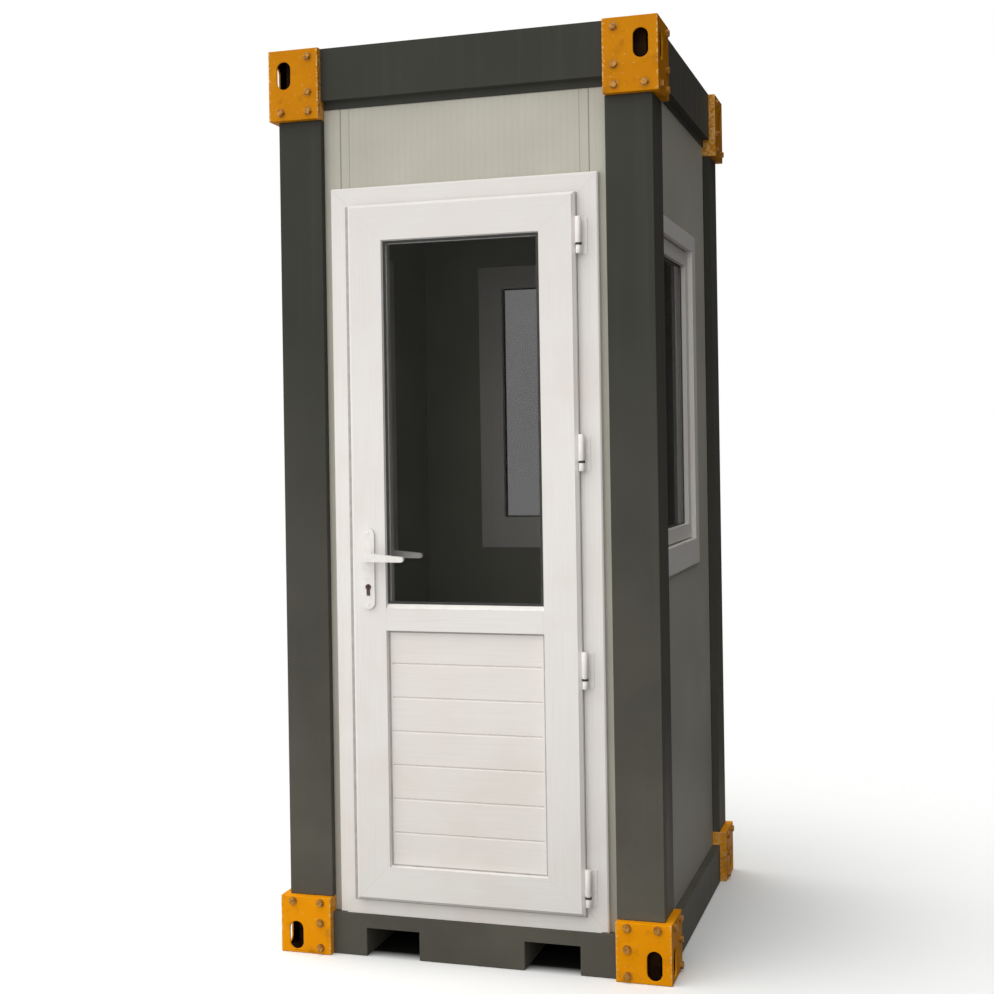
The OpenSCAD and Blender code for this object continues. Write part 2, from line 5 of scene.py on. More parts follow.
import bpy
import numpy as np
from mathutils import Euler, Matrix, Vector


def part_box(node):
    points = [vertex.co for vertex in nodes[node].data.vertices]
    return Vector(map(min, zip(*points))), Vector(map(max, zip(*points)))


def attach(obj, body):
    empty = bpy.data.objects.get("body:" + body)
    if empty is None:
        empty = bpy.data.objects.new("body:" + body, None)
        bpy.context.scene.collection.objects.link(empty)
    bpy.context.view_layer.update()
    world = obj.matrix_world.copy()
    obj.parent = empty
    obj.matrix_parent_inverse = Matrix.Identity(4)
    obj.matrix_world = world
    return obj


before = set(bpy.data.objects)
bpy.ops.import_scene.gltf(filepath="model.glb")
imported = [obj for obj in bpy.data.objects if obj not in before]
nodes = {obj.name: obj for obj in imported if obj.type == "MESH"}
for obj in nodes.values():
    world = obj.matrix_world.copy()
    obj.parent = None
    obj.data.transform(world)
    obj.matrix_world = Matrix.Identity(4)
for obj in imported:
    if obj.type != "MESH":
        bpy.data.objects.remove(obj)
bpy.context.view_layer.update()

# Posts, ring beams, floor joists and fork tunnels.
# Folded and welded sheet steel, sprayed with a warm dark grey satin paint. The posts stand between the
# corner castings, the beams are bolted to them, and road dust has settled on their lower parts.


def linear(code):
    """sRGB hex such as "4a4843" as linear RGBA."""
    srgb = np.array([int(code[i : i + 2], 16) for i in (0, 2, 4)]) / 255
    rgb = np.where(srgb <= 0.04045, srgb / 12.92, ((srgb + 0.055) / 1.055) ** 2.4)
    return (*(float(v) for v in rgb), 1.0)


def add(tree, kind, inputs=None, out=0, **settings):
    """Adds one node with its settings, links or sets the inputs that are named or numbered, and returns one
    of its outputs. Text given to an input is an sRGB hex."""
    made = tree.nodes.new("ShaderNode" + kind)
    for key, value in settings.items():
        setattr(made, key, value)
    for key, value in (inputs or {}).items():
        if isinstance(value, bpy.types.NodeSocket):
            tree.links.new(value, made.inputs[key])
        else:
            made.inputs[key].default_value = linear(value) if isinstance(value, str) else value
    return made.outputs[out] if made.outputs else None


def blank(name):
    """A new material with an empty tree, the call that adds nodes to it, and its object coordinates."""
    made = bpy.data.materials.new(name)
    made.use_nodes = True
    made.node_tree.nodes.clear()
    node = partial(add, made.node_tree)
    return made, node, node("TexCoord", out="Object")


def dress(material, *names, edge=0.0):
    """Gives CAD nodes a material and, where the real edge is folded or moulded, a rounding of that radius."""
    for name in names:
        nodes[name].data.materials.clear()
        nodes[name].data.materials.append(material)
        if edge:
            weld = nodes[name].modifiers.new("weld", "WELD")
            weld.merge_threshold = 1e-5
            bevel = nodes[name].modifiers.new("edge", "BEVEL")
            bevel.width = edge
            bevel.segments = 2
            bevel.limit_method = "ANGLE"
            bevel.angle_limit = np.radians(35)
            bevel.harden_normals = True


# Satin alkyd paint on steel: dull highlights, faint orange peel, shallow dents, dust low down.
# A MapRange has its value at 0, the range it comes from at 1 and 2, and the range it goes to at 3 and 4.
# A Mix has its share at 0, numbers at 2 and 3, vectors at 4 and 5, and colours at 6 and 7.
in_colour = {"out": 2, "data_type": "RGBA"}
steel_paint, node, place = blank("grey_satin_paint_on_steel")
height = node("SeparateXYZ", {0: place}, out=2)
# Patches of about 420 mm.
cloud = node("TexNoise", {"Vector": place, "Scale": 1 / 0.42, "Detail": 5.0, "Roughness": 0.6})
patch = node("MapRange", {0: cloud, 1: 0.25, 2: 0.75})
shade = node("Mix", {0: patch, 6: "3a3a35", 7: "3f3f3a"}, **in_colour)
# Rain streaks about 40 mm wide and 1.4 m long run down the uprights.
drawn = node("Mapping", {"Vector": place, "Scale": (1 / 0.04, 1 / 0.04, 1 / 1.4)})
streak = node("TexNoise", {"Vector": drawn, "Scale": 1.0, "Detail": 3.0})
washed = node("MapRange", {0: streak, 1: 0.55, 2: 0.75, 3: 0.0, 4: 0.10})
streaked = node("Mix", {0: washed, 6: shade, 7: "5f5c54"}, **in_colour)
# Dust thins out up to 1.8 m.
low = node("MapRange", {0: height, 1: 0.0, 2: 1.8, 3: 0.95, 4: 0.0})
dust = node("Math", {0: low, 1: cloud}, operation="MULTIPLY")
dusted = node("Mix", {0: dust, 6: streaked, 7: "6f6b60"}, **in_colour)
# Orange peel of 2.5 mm and dents of 200 mm.
peel = node("TexNoise", {"Vector": place, "Scale": 1 / 0.0025, "Detail": 1.0})
dents = node("TexNoise", {"Vector": place, "Scale": 1 / 0.2, "Detail": 1.0})
peeled = node("Bump", {"Height": peel, "Strength": 0.06, "Distance": 0.0005})
bump = node("Bump", {"Height": dents, "Strength": 0.2, "Distance": 0.003, "Normal": peeled})
gloss = node("MapRange", {0: streak, 1: 0.3, 2: 0.7, 3: 0.46, 4: 0.58})
haze = {"Sheen Weight": 0.12, "Sheen Roughness": 0.35, "Sheen Tint": "b8aea0"}
coat = {"Base Color": dusted, "Roughness": gloss, "Normal": bump, "IOR": 1.1}
finish = node("BsdfPrincipled", {**coat, **haze})
node("OutputMaterial", {"Surface": finish})
corners = [f"{end}_{side}" for end in ("front", "rear") for side in ("left", "right")]
sides = ("front", "rear", "left", "right")
dress(steel_paint, *(f"post_{c}" for c in corners), edge=0.003)
dress(steel_paint, *(f"top_beam_{s}" for s in sides), *(f"bottom_beam_{s}" for s in sides), edge=0.0015)
dress(steel_paint, "fork_tunnels", "floor_joists")

# Corner castings.
# Welded boxes of thick plate with round-ended lifting slots, painted orange after welding. The paint is
# rubbed pale along the edges and grimy near the bolts. Inside, the boxes are rusty and darkened to near
# black as painted shade.

# Enamel on thick plate: a strong satin orange, uneven where the brush overlapped.
orange_paint, node, place = blank("orange_enamel_on_plate")
x_at, y_at, height = (node("SeparateXYZ", {0: place}, out=k) for k in range(3))
x_off = node("Math", {0: x_at}, operation="ABSOLUTE")
y_off = node("Math", {0: y_at}, operation="ABSOLUTE")
outward = node("Math", {0: x_off, 1: y_off}, operation="MAXIMUM")
sideways = node("Math", {0: x_off, 1: y_off}, operation="MINIMUM")
# Patches of about 110 mm. The upper castings are coloured darker and browner than the lower ones.
cloud = node("TexNoise", {"Vector": place, "Scale": 1 / 0.11, "Detail": 6.0, "Roughness": 0.65})
patch = node("MapRange", {0: cloud, 1: 0.3, 2: 0.7})
upper_tones = node("Mix", {0: patch, 6: "b87208", 7: "c6800e"}, **in_colour)
lower_tones = node("Mix", {0: patch, 6: "e89106", 7: "f19d0c"}, **in_colour)
rise = node("MapRange", {0: height, 1: 0.3, 2: 2.3})
shade = node("Mix", {0: rise, 6: lower_tones, 7: upper_tones}, **in_colour)
# Scuffs of about 8 mm, thickest within 9 mm of the upright edges, show the pale primer.
low_corner, high_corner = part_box("top_casting_front_right")
outer_face, inner_edge = high_corner.x, low_corner.x
grit = node("TexNoise", {"Vector": place, "Scale": 1 / 0.008, "Detail": 4.0})
to_outer = node("Math", {0: outer_face, 1: sideways}, operation="SUBTRACT")
to_inner = node("Math", {0: sideways, 1: inner_edge}, operation="SUBTRACT")
to_edge = node("Math", {0: to_outer, 1: to_inner}, operation="MINIMUM")
rim = node("MapRange", {0: to_edge, 1: 0.001, 2: 0.009, 3: 0.22, 4: 0.0})
rubbed = node("Math", {0: grit, 1: rim}, operation="ADD")
scuff = node("MapRange", {0: rubbed, 1: 0.64, 2: 0.80, 3: 0.0, 4: 0.5})
worn = node("Mix", {0: scuff, 6: shade, 7: "ecc98c"}, **in_colour)
# Grime in spots of about 45 mm.
soil = node("TexNoise", {"Vector": place, "Scale": 1 / 0.045, "Detail": 5.0})
grime = node("MapRange", {0: soil, 1: 0.56, 2: 0.75, 3: 0.0, 4: 0.45})
soiled = node("Mix", {0: grime, 6: worn, 7: "7a5218"}, **in_colour)
# The hollow lies nearly a plate thickness inside the outer faces, the inner edges and both end plates.
plate = 0.0055
within = node("Math", {0: outward, 1: outer_face - plate}, operation="LESS_THAN")
past_edge = node("Math", {0: sideways, 1: inner_edge + plate}, operation="GREATER_THAN")
walled = node("Math", {0: within, 1: past_edge}, operation="MULTIPLY")
between_ends = 0.0
for end in ("top", "bottom"):
    low_corner, high_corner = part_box(f"{end}_casting_front_right")
    above = node("Math", {0: height, 1: low_corner.z + plate}, operation="GREATER_THAN")
    below = node("Math", {0: height, 1: high_corner.z - plate}, operation="LESS_THAN")
    layer = node("Math", {0: above, 1: below}, operation="MULTIPLY")
    between_ends = node("Math", {0: between_ends, 1: layer}, operation="MAXIMUM")
hollow = node("Math", {0: walled, 1: between_ends}, operation="MULTIPLY")
# Painted shade: inside the hollow the rust is coloured near black, as little light reaches it.
hollow_patch = node("MapRange", {0: soil, 1: 0.35, 2: 0.7})
rust_in_painted_shade = node("Mix", {0: hollow_patch, 6: "1d120b", 7: "3a2313"}, **in_colour)
lined = node("Mix", {0: hollow, 6: soiled, 7: rust_in_painted_shade}, **in_colour)
bump = node("Bump", {"Height": grit, "Strength": 0.25, "Distance": 0.0008})
gloss = node("MapRange", {0: soil, 1: 0.35, 2: 0.7, 3: 0.42, 4: 0.62})
finish = node("BsdfPrincipled", {"Base Color": lined, "Roughness": gloss, "Normal": bump, "IOR": 1.1})
node("OutputMaterial", {"Surface": finish})
dress(orange_paint, *(f"{end}_casting_{c}" for end in ("top", "bottom") for c in corners), edge=0.002)

# Casting bolts.
# Hexagon bolts with yellow chromate, oversprayed with the orange, a washer under each head, four on each
# outer face of a casting: three in a column by its inner edge and one by its outer edge, clear of the slot.
bolt_across = 0.018
bolt_head = 0.0075
bolt_chamfer = 0.0012
bolt_crown_share = 0.94
washer_radius = 0.0125
washer_thick = 0.0015
column_in, single_in = 0.032, 0.038
# Drops of the three rows from the casting's upper edge, and which of them has the single bolt.
bolt_rows = (("top", (0.024, 0.127, 0.182), 2), ("bottom", (0.015, 0.073, 0.145), 0))


def mesh_piece(name, points, faces, material, body="booth", smooth=False):
    """A mesh object at the origin with its place in its points, riding on a body."""
    data = bpy.data.meshes.new(name)
    data.from_pydata(points.reshape(-1, 3).tolist(), [], faces)
    data.materials.append(material)
    data.polygons.foreach_set("use_smooth", np.full(len(data.polygons), smooth))
    data.update()
    piece = bpy.data.objects.new(name, data)
    bpy.context.scene.collection.objects.link(piece)
    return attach(piece, body)


def grid_faces(rows, columns, looped=False):
    """Quads of a grid of points that closes round its columns, and round its rows too if looped."""
    i, j = np.meshgrid(np.arange(rows if looped else rows - 1), np.arange(columns), indexing="ij")
    beyond, beside = (i + 1) % rows, (j + 1) % columns
    quads = [i * columns + j, i * columns + beside, beyond * columns + beside, beyond * columns + j]
    return np.stack(quads, -1).reshape(-1, 4)


def turned_pieces(places, outs, radii, heights, looped=False):
    """Pieces turned about an axis as surfaces of two parameters, a turn t and a step s along the profile:
    each point is place + r(s, t) (cos t across + sin t up) + h(s) out. A radius that varies with t gives a
    hexagon. A profile that isn't looped gets a flat face at either end."""
    steps = radii.shape[1]
    turn = np.arange(steps) * 2 * np.pi / steps
    local = np.stack([radii * np.cos(turn), radii * np.sin(turn), np.tile(heights[:, None], (1, steps))], -1)
    up = np.where(np.abs(outs[:, 2:]) > 0.5, [[0.0, 1.0, 0.0]], [[0.0, 0.0, 1.0]])
    axes = np.stack([np.cross(up, outs), up, outs], 1)
    points = places[:, None, None, :] + np.einsum("rsk,bkc->brsc", local, axes)
    firsts = np.arange(len(places))[:, None] * radii.size
    faces = (grid_faces(len(heights), steps, looped)[None] + firsts[:, None]).reshape(-1, 4).tolist()
    if not looped:
        rim = np.arange(steps)
        faces += (rim[::-1] + firsts).tolist() + (rim + radii.size - steps + firsts).tolist()
    return points, faces


# Yellow chromate on zinc under thin orange overspray, rubbed bright in spots of about 11 mm.
bolt_zinc, node, place = blank("yellow_chromate_bolt")
dull = node("TexNoise", {"Vector": place, "Scale": 1 / 0.011, "Detail": 4.0})
bright = node("MapRange", {0: dull, 1: 0.35, 2: 0.65})
shade = node("Mix", {0: bright, 6: "8a5814", 7: "c48a30"}, **in_colour)
gloss = node("MapRange", {0: dull, 1: 0.3, 2: 0.7, 3: 0.55, 4: 0.35})
finish = node("BsdfPrincipled", {"Base Color": shade, "Roughness": gloss, "Metallic": 0.35})
node("OutputMaterial", {"Surface": finish})
bolt_steps = 24
turn = np.arange(bolt_steps) * 2 * np.pi / bolt_steps
hexagon = bolt_across / 2 / np.cos((turn % (np.pi / 3)) - np.pi / 6)
ring = np.ones(bolt_steps)
crown = ring * bolt_across / 2 * bolt_crown_share
bolt_radii = np.array([ring * washer_radius, ring * washer_radius, hexagon, hexagon, crown])
bolt_top = washer_thick + bolt_head
bolt_heights = np.array([0.0, washer_thick, washer_thick, bolt_top - bolt_chamfer, bolt_top])
for end, drops, single_row in bolt_rows:
    low_corner, high_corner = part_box(f"{end}_casting_rear_right")
    column, single = low_corner.x + column_in, high_corner.x - single_in
    along = np.array([column, column, column, single])
    z = high_corner.z - np.array([*drops, drops[single_row]])
    face = np.full(len(along), high_corner.x)
    places = np.concatenate([np.stack([along, face, z], -1), np.stack([face, along, z], -1)])
    outs = np.repeat([[0.0, 1.0, 0.0], [1.0, 0.0, 0.0]], len(along), 0)
    signs = np.array([[sx, sy, 1.0] for sx in (-1, 1) for sy in (-1, 1)])
    places = (signs[:, None, :] * places).reshape(-1, 3)
    outs = (signs[:, None, :] * outs).reshape(-1, 3)
    points, faces = turned_pieces(places, outs, bolt_radii, bolt_heights)
    mesh_piece(f"{end}_casting_bolts", points, faces, bolt_zinc)

# Wall and ceiling panels.
# Foam-core panels with thin prepainted steel skins rolled in fine upright ribs. They stand in the lower
# channel behind the post edges, and narrow ones flank the door with a double seam at each joint.
rib_pitch = 0.020
skin = 0.001
# Coil-coated steel: an even warm grey with soft highlights, ruled by the ribs.
panel_skin, node, place = blank("prepainted_ribbed_steel_skin")
x_at, y_at, height = (node("SeparateXYZ", {0: place}, out=k) for k in range(3))
x_off = node("Math", {0: x_at}, operation="ABSOLUTE")
y_off = node("Math", {0: y_at}, operation="ABSOLUTE")
# Each rib is a flat band with a narrow groove beside it.
along = node("Math", {0: x_at, 1: y_at}, operation="ADD")
pitches = node("Math", {0: along, 1: 1 / rib_pitch}, operation="MULTIPLY")
saw = node("Math", {0: pitches}, operation="FRACT")
off_middle = node("Math", {0: saw, 1: 0.5}, operation="SUBTRACT")
swing = node("Math", {0: off_middle}, operation="ABSOLUTE")
rib = node("MapRange", {0: swing, 1: 0.36, 2: 0.48, 3: 1.0, 4: 0.0})
# Patches of about 250 mm.
cloud = node("TexNoise", {"Vector": place, "Scale": 1 / 0.25, "Detail": 4.0})
patch = node("MapRange", {0: cloud, 1: 0.3, 2: 0.7})
shade = node("Mix", {0: patch, 6: "aeab9f", 7: "b8b5a9"}, **in_colour)
# Painted shade: the grooves are coloured darker than the ribs.
groove_shade = node("MapRange", {0: rib, 1: 0.0, 2: 1.0, 3: 0.09, 4: 0.0})
groove_shaded = node("Mix", {0: groove_shade, 6: shade, 7: "8f8b80"}, **in_colour)
# Inside, the skins are coloured a darker mid grey: painted shade of the dim cabin.
deep = node("Math", {0: x_off, 1: y_off}, operation="MAXIMUM")
inside = node("Math", {0: deep, 1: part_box("rear_wall")[0].y + skin}, operation="LESS_THAN")
shaded_lining = node("Mix", {0: patch, 6: "8c8a7e", 7: "969487"}, **in_colour)
lined = node("Mix", {0: inside, 6: groove_shaded, 7: shaded_lining}, **in_colour)
# Seams about 3 mm wide where the narrow panels meet the one over the door, and a fainter fold inside them.
low_corner, high_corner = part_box("over_door_panel")
front = node("Math", {0: y_at, 1: high_corner.y + skin}, operation="LESS_THAN")
seam = 0.0
for inset, sharp, soft, strength in ((0.007, 0.0010, 0.0022, 1.0), (0.034, 0.0008, 0.0020, 0.55)):
    beside = node("Math", {0: x_off, 1: high_corner.x - inset}, operation="SUBTRACT")
    off_line = node("Math", {0: beside}, operation="ABSOLUTE")
    line = node("MapRange", {0: off_line, 1: sharp, 2: soft, 3: strength, 4: 0.0})
    seam = node("Math", {0: seam, 1: line}, operation="MAXIMUM")
seam = node("Math", {0: seam, 1: front}, operation="MULTIPLY")
dark = node("Math", {0: seam, 1: 0.6}, operation="MULTIPLY")
seamed = node("Mix", {0: dark, 6: lined, 7: "5b584f"}, **in_colour)
# Splashed road dust on the lowest half metre.
low = node("MapRange", {0: height, 1: 0.12, 2: 0.6, 3: 0.5, 4: 0.0})
splash = node("Math", {0: low, 1: cloud}, operation="MULTIPLY")
dusted = node("Mix", {0: splash, 6: seamed, 7: "8d8371"}, **in_colour)
ribbed = node("Bump", {"Height": rib, "Strength": 0.12, "Distance": 0.001})
bump = node("Bump", {"Height": seam, "Strength": 0.5, "Distance": 0.001, "Normal": ribbed}, invert=True)
gloss = node("MapRange", {0: cloud, 1: 0.3, 2: 0.7, 3: 0.34, 4: 0.46})
finish = node("BsdfPrincipled", {"Base Color": dusted, "Roughness": gloss, "Normal": bump, "IOR": 1.06})
node("OutputMaterial", {"Surface": finish})
dress(panel_skin, "left_wall", "right_wall", "rear_wall", "ceiling_panel")
dress(panel_skin, "front_strip_left", "front_strip_right", "over_door_panel")

# Floor board.
# Film-faced plywood with a brown phenolic face, laid on the joists and fork tunnels and scuffed by boots.
# Its plies show on the cut edges.

# Phenolic film on plywood: brown and half glossy, paler and duller where it is scuffed.
film_ply, node, place = blank("film_faced_plywood")
# Scuffs of about 70 mm.
scuffs = node("TexNoise", {"Vector": place, "Scale": 1 / 0.07, "Detail": 6.0, "Distortion": 0.8})
pale = node("MapRange", {0: scuffs, 1: 0.3, 2: 0.75})
shade = node("Mix", {0: pale, 6: "5a4632", 7: "86705a"}, **in_colour)
# Pairs of plies 3 mm thick.
stacked = node("Mapping", {"Vector": place, "Scale": (0.0, 0.0, 1 / 0.003)})
plies = node("TexNoise", {"Vector": stacked, "Scale": 1.0, "Detail": 0.0})
bump = node("Bump", {"Height": plies, "Strength": 0.2, "Distance": 0.0005})
gloss = node("MapRange", {0: scuffs, 1: 0.3, 2: 0.7, 3: 0.35, 4: 0.6})
finish = node("BsdfPrincipled", {"Base Color": shade, "Roughness": gloss, "Normal": bump})
node("OutputMaterial", {"Surface": finish})
dress(film_ply, "floor_board")

# Roof sheet.
# Bare galvanised trapezoidal sheet on the ledges of the upper beams, spangled and dusty in the valleys.
# It is screwed down through its crowns.

# Hot-dip zinc: each spangle mirrors the light a little differently from the next.
galvanised, node, place = blank("galvanised_sheet")
# Spangles about 18 mm across.
spangle = node("TexVoronoi", {"Vector": place, "Scale": 1 / 0.018}, out="Color")
grey = node("RGBToBW", {0: spangle})
shade = node("Mix", {0: grey, 6: "9a9d9c", 7: "b9bcba"}, **in_colour)
# Dirt in patches of about 125 mm.
low_corner, high_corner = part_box("roof_sheet")
height = node("SeparateXYZ", {0: place}, out=2)
valley = node("MapRange", {0: height, 1: low_corner.z, 2: high_corner.z, 3: 0.4, 4: 0.0})
dirt = node("TexNoise", {"Vector": place, "Scale": 1 / 0.125})
dust = node("Math", {0: valley, 1: dirt}, operation="MULTIPLY")
dusted = node("Mix", {0: dust, 6: shade, 7: "7d7668"}, **in_colour)
gloss = node("MapRange", {0: grey, 1: 0.0, 2: 1.0, 3: 0.32, 4: 0.5})
finish = node("BsdfPrincipled", {"Base Color": dusted, "Roughness": gloss, "Metallic": 0.9})
node("OutputMaterial", {"Surface": finish})
dress(galvanised, "roof_sheet")

# Door frame, leaf, lower boards and windows.
# Extruded white PVC bars with a faintly embossed grain, cut at 45 degrees and welded at the corners, so a
# fine seam runs across each corner and the grain turns there. The frames are screwed into the wall openings.
frame_bar, leaf_bar, window_bar, sash_bar = 0.068, 0.103, 0.060, 0.050
side_wall_from = 0.45
grain_wide, grain_long = 0.004, 0.2
butt_in, corner_share = 0.002, 1.3


def pvc(name, half, z0, z1, member, shift=0.0, seams=1.0, whites=("dedad5", "e4e1dc")):
    """White PVC of a frame of that half width from z0 to z1. With u = |x|, or |y - shift| on the side walls,
    a = half - u and b = min(z - z0, z1 - z), the bar is level where b < a or a > member. A weld seam is where
    a = b within the corner, and the bars between the stiles butt where a = member."""
    # Embossed rigid PVC: a warm white with a low sheen, broken by fine lines along each bar.
    made, node, place = blank(name)
    x_at, y_at, height = (node("SeparateXYZ", {0: place}, out=k) for k in range(3))
    x_off = node("Math", {0: x_at}, operation="ABSOLUTE")
    y_moved = node("Math", {0: y_at, 1: shift}, operation="SUBTRACT")
    y_off = node("Math", {0: y_moved}, operation="ABSOLUTE")
    side_wall = node("Math", {0: x_off, 1: side_wall_from}, operation="GREATER_THAN")
    u = node("Mix", {0: side_wall, 2: x_off, 3: y_off})
    a = node("Math", {0: half, 1: u}, operation="SUBTRACT")
    over_foot = node("Math", {0: height, 1: z0}, operation="SUBTRACT")
    under_head = node("Math", {0: z1, 1: height}, operation="SUBTRACT")
    b = node("Math", {0: over_foot, 1: under_head}, operation="MINIMUM")
    in_stile = node("Math", {0: a, 1: member + butt_in}, operation="LESS_THAN")
    in_rail = node("Math", {0: b, 1: a}, operation="LESS_THAN")
    in_field = node("Math", {0: 1.0, 1: in_stile}, operation="SUBTRACT")
    level = node("Math", {0: in_rail, 1: in_field}, operation="MAXIMUM")
    # The weld seam, which ends with the bars.
    past_mitre = node("Math", {0: a, 1: b}, operation="SUBTRACT")
    off_mitre = node("Math", {0: past_mitre}, operation="ABSOLUTE")
    weld = node("MapRange", {0: off_mitre, 1: 0.0005, 2: 0.0016, 3: seams, 4: 0.0})
    near_end = node("Math", {0: b, 1: member}, operation="LESS_THAN")
    in_corner = node("Math", {0: in_stile, 1: near_end}, operation="MULTIPLY")
    weld = node("Math", {0: weld, 1: in_corner}, operation="MULTIPLY")
    # The butt seam, clear of the corners.
    past_butt = node("Math", {0: a, 1: member + butt_in}, operation="SUBTRACT")
    off_butt = node("Math", {0: past_butt}, operation="ABSOLUTE")
    butt = node("MapRange", {0: off_butt, 1: 0.0005, 2: 0.0014, 3: seams, 4: 0.0})
    clear = node("Math", {0: b, 1: member * corner_share}, operation="GREATER_THAN")
    butt = node("Math", {0: butt, 1: clear}, operation="MULTIPLY")
    seam = node("Math", {0: weld, 1: butt}, operation="MAXIMUM")
    # Grain lines about 4 mm apart, drawn out to 200 mm along each bar.
    upright = node("Mapping", {"Vector": place, "Scale": (1 / grain_wide, 1 / grain_wide, 1 / grain_long)})
    lying = node("Mapping", {"Vector": place, "Scale": (1 / grain_long, 1 / grain_long, 1 / grain_wide)})
    way = node("Mix", {0: level, 4: upright, 5: lying}, out=1, data_type="VECTOR")
    grain = node("TexNoise", {"Vector": way, "Scale": 1.0, "Detail": 4.0, "Roughness": 0.55})
    lines = node("MapRange", {0: grain, 1: 0.25, 2: 0.6})
    shade = node("Mix", {0: lines, 6: whites[0], 7: whites[1]}, **in_colour)
    # Finger marks and yellowing in patches of about 170 mm, dust low down, painted shade towards the eaves.
    cloud = node("TexNoise", {"Vector": place, "Scale": 1 / 0.17, "Detail": 3.0})
    marks = node("MapRange", {0: cloud, 1: 0.42, 2: 0.7, 3: 0.0, 4: 0.45})
    warmed = node("Mix", {0: marks, 6: shade, 7: "ded4cd"}, **in_colour)
    low = node("MapRange", {0: height, 1: 0.12, 2: 0.9, 3: 0.25, 4: 0.0})
    dust = node("Math", {0: low, 1: cloud}, operation="MULTIPLY")
    dusted = node("Mix", {0: dust, 6: warmed, 7: "c9c2b6"}, **in_colour)
    # Painted shade: the bars are greyed from 1.5 m up to the eaves.
    film_and_eaves_shade = node("MapRange", {0: height, 1: 1.5, 2: 2.25, 3: 0.0, 4: 0.45})
    eaves_shaded = node("Mix", {0: film_and_eaves_shade, 6: dusted, 7: "cdc8c4"}, **in_colour)
    dark = node("Math", {0: seam, 1: 0.2}, operation="MULTIPLY")
    seamed = node("Mix", {0: dark, 6: eaves_shaded, 7: "9c968e"}, **in_colour)
    grained = node("Bump", {"Height": grain, "Strength": 0.07, "Distance": 0.0005})
    bump = node("Bump", {"Height": seam, "Strength": 0.4, "Distance": 0.0008, "Normal": grained}, invert=True)
    gloss = node("MapRange", {0: grain, 1: 0.3, 2: 0.7, 3: 0.5, 4: 0.42})
    finish = node("BsdfPrincipled", {"Base Color": seamed, "Roughness": gloss, "Normal": bump, "IOR": 1.2})
    node("OutputMaterial", {"Surface": finish})
    return made


frame_low, frame_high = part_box("door_frame")
bars = pvc("white_pvc_door_frame", frame_high.x, frame_low.z, frame_high.z, frame_bar)
dress(bars, "door_frame", edge=0.003)
leaf_low, leaf_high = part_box("door_leaf")
dress(pvc("white_pvc_door_leaf", leaf_high.x, leaf_low.z, leaf_high.z, leaf_bar, seams=0.5), "door_leaf")
board_low, board_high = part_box("door_infill")
board_whites = ("dfdad4", "e4e0da")
boards = pvc("white_pvc_boards", board_high.x, board_low.z, board_high.z, 0.0, seams=0.0, whites=board_whites)
dress(boards, "door_infill")
window_low, window_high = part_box("window_frames")
window_half = 0.305
window_shift = window_low.y + window_half
trim = pvc("white_pvc_window_frame", window_half, window_low.z, window_high.z, window_bar, window_shift)
dress(trim, "window_frames", edge=0.002)
sash_low, sash_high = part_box("window_sashes")
sash_half = window_shift - sash_low.y
sash = pvc("white_pvc_window_sash", sash_half, sash_low.z, sash_high.z, sash_bar, window_shift)
dress(sash, "window_sashes", edge=0.002)

# Beads, hinges, handle plates and levers.
# Injection-moulded and extruded white plastic without grain, a little glossier than the bars. The beads clip
# into the leaf round each opening; hinges and plates are screwed on.

# Moulded plastic: a plain white with small clear highlights on its rounded edges.
moulded, node, place = blank("white_moulded_plastic")
# Handling marks of about 17 mm.
cloud = node("TexNoise", {"Vector": place, "Scale": 1 / 0.017, "Detail": 4.0})
patch = node("MapRange", {0: cloud, 1: 0.3, 2: 0.7})
shade = node("Mix", {0: patch, 6: "e0dcd6", 7: "e9e5e0"}, **in_colour)
gloss = node("MapRange", {0: cloud, 1: 0.3, 2: 0.7, 3: 0.38, 4: 0.28})
finish = node("BsdfPrincipled", {"Base Color": shade, "Roughness": gloss, "IOR": 1.5})
node("OutputMaterial", {"Surface": finish})
dress(moulded, "door_beads", "hinge_frame_halves", "hinge_leaf_halves", "handle_plates", edge=0.001)
dress(moulded, "lever_set", edge=0.003)

# Lock cylinder.
# Brass, nickel-plated once and now tarnished brown, held in the lock case by one screw from the door edge.
# Only its face and keyway show in the back plates.
# Its dark brown is partly tarnish and partly painted shade of the recessed keyhole.

# Tarnished brass: a dark brown metal that still shines in spots; its darkness is partly painted shade.
brass_with_keyhole_shade, node, place = blank("tarnished_brass_and_keyhole_shade")
# Stains of about 5.5 mm.
stain = node("TexNoise", {"Vector": place, "Scale": 1 / 0.0055, "Detail": 4.0})
rubbed = node("MapRange", {0: stain, 1: 0.35, 2: 0.7})
shade = node("Mix", {0: rubbed, 6: "3d2f28", 7: "6d5a4c"}, **in_colour)
gloss = node("MapRange", {0: stain, 1: 0.3, 2: 0.7, 3: 0.35, 4: 0.55})
finish = node("BsdfPrincipled", {"Base Color": shade, "Roughness": gloss, "Metallic": 0.6})
node("OutputMaterial", {"Surface": finish})
dress(brass_with_keyhole_shade, "key_cylinder", edge=0.0006)

# Hinge collars.
# A thin black nylon collar clipped round the joint between the two knuckles of each hinge.
# It takes the weight of the leaf and keeps dirt out of the joint. Its near-black is painted shade for the
# dark gap between the knuckles.
hinges, barrel, upper_knuckle, knuckle_gap = 4, 0.008, 0.074, 0.003
collar_inner, collar_outer, collar_half, collar_steps = 0.0083, 0.0091, 0.003, 32
# Nylon: near black, as painted shade of the knuckle gap, and a little greyer where it is rubbed.
gap_shade_nylon, node, place = blank("black_nylon_gap_shade")
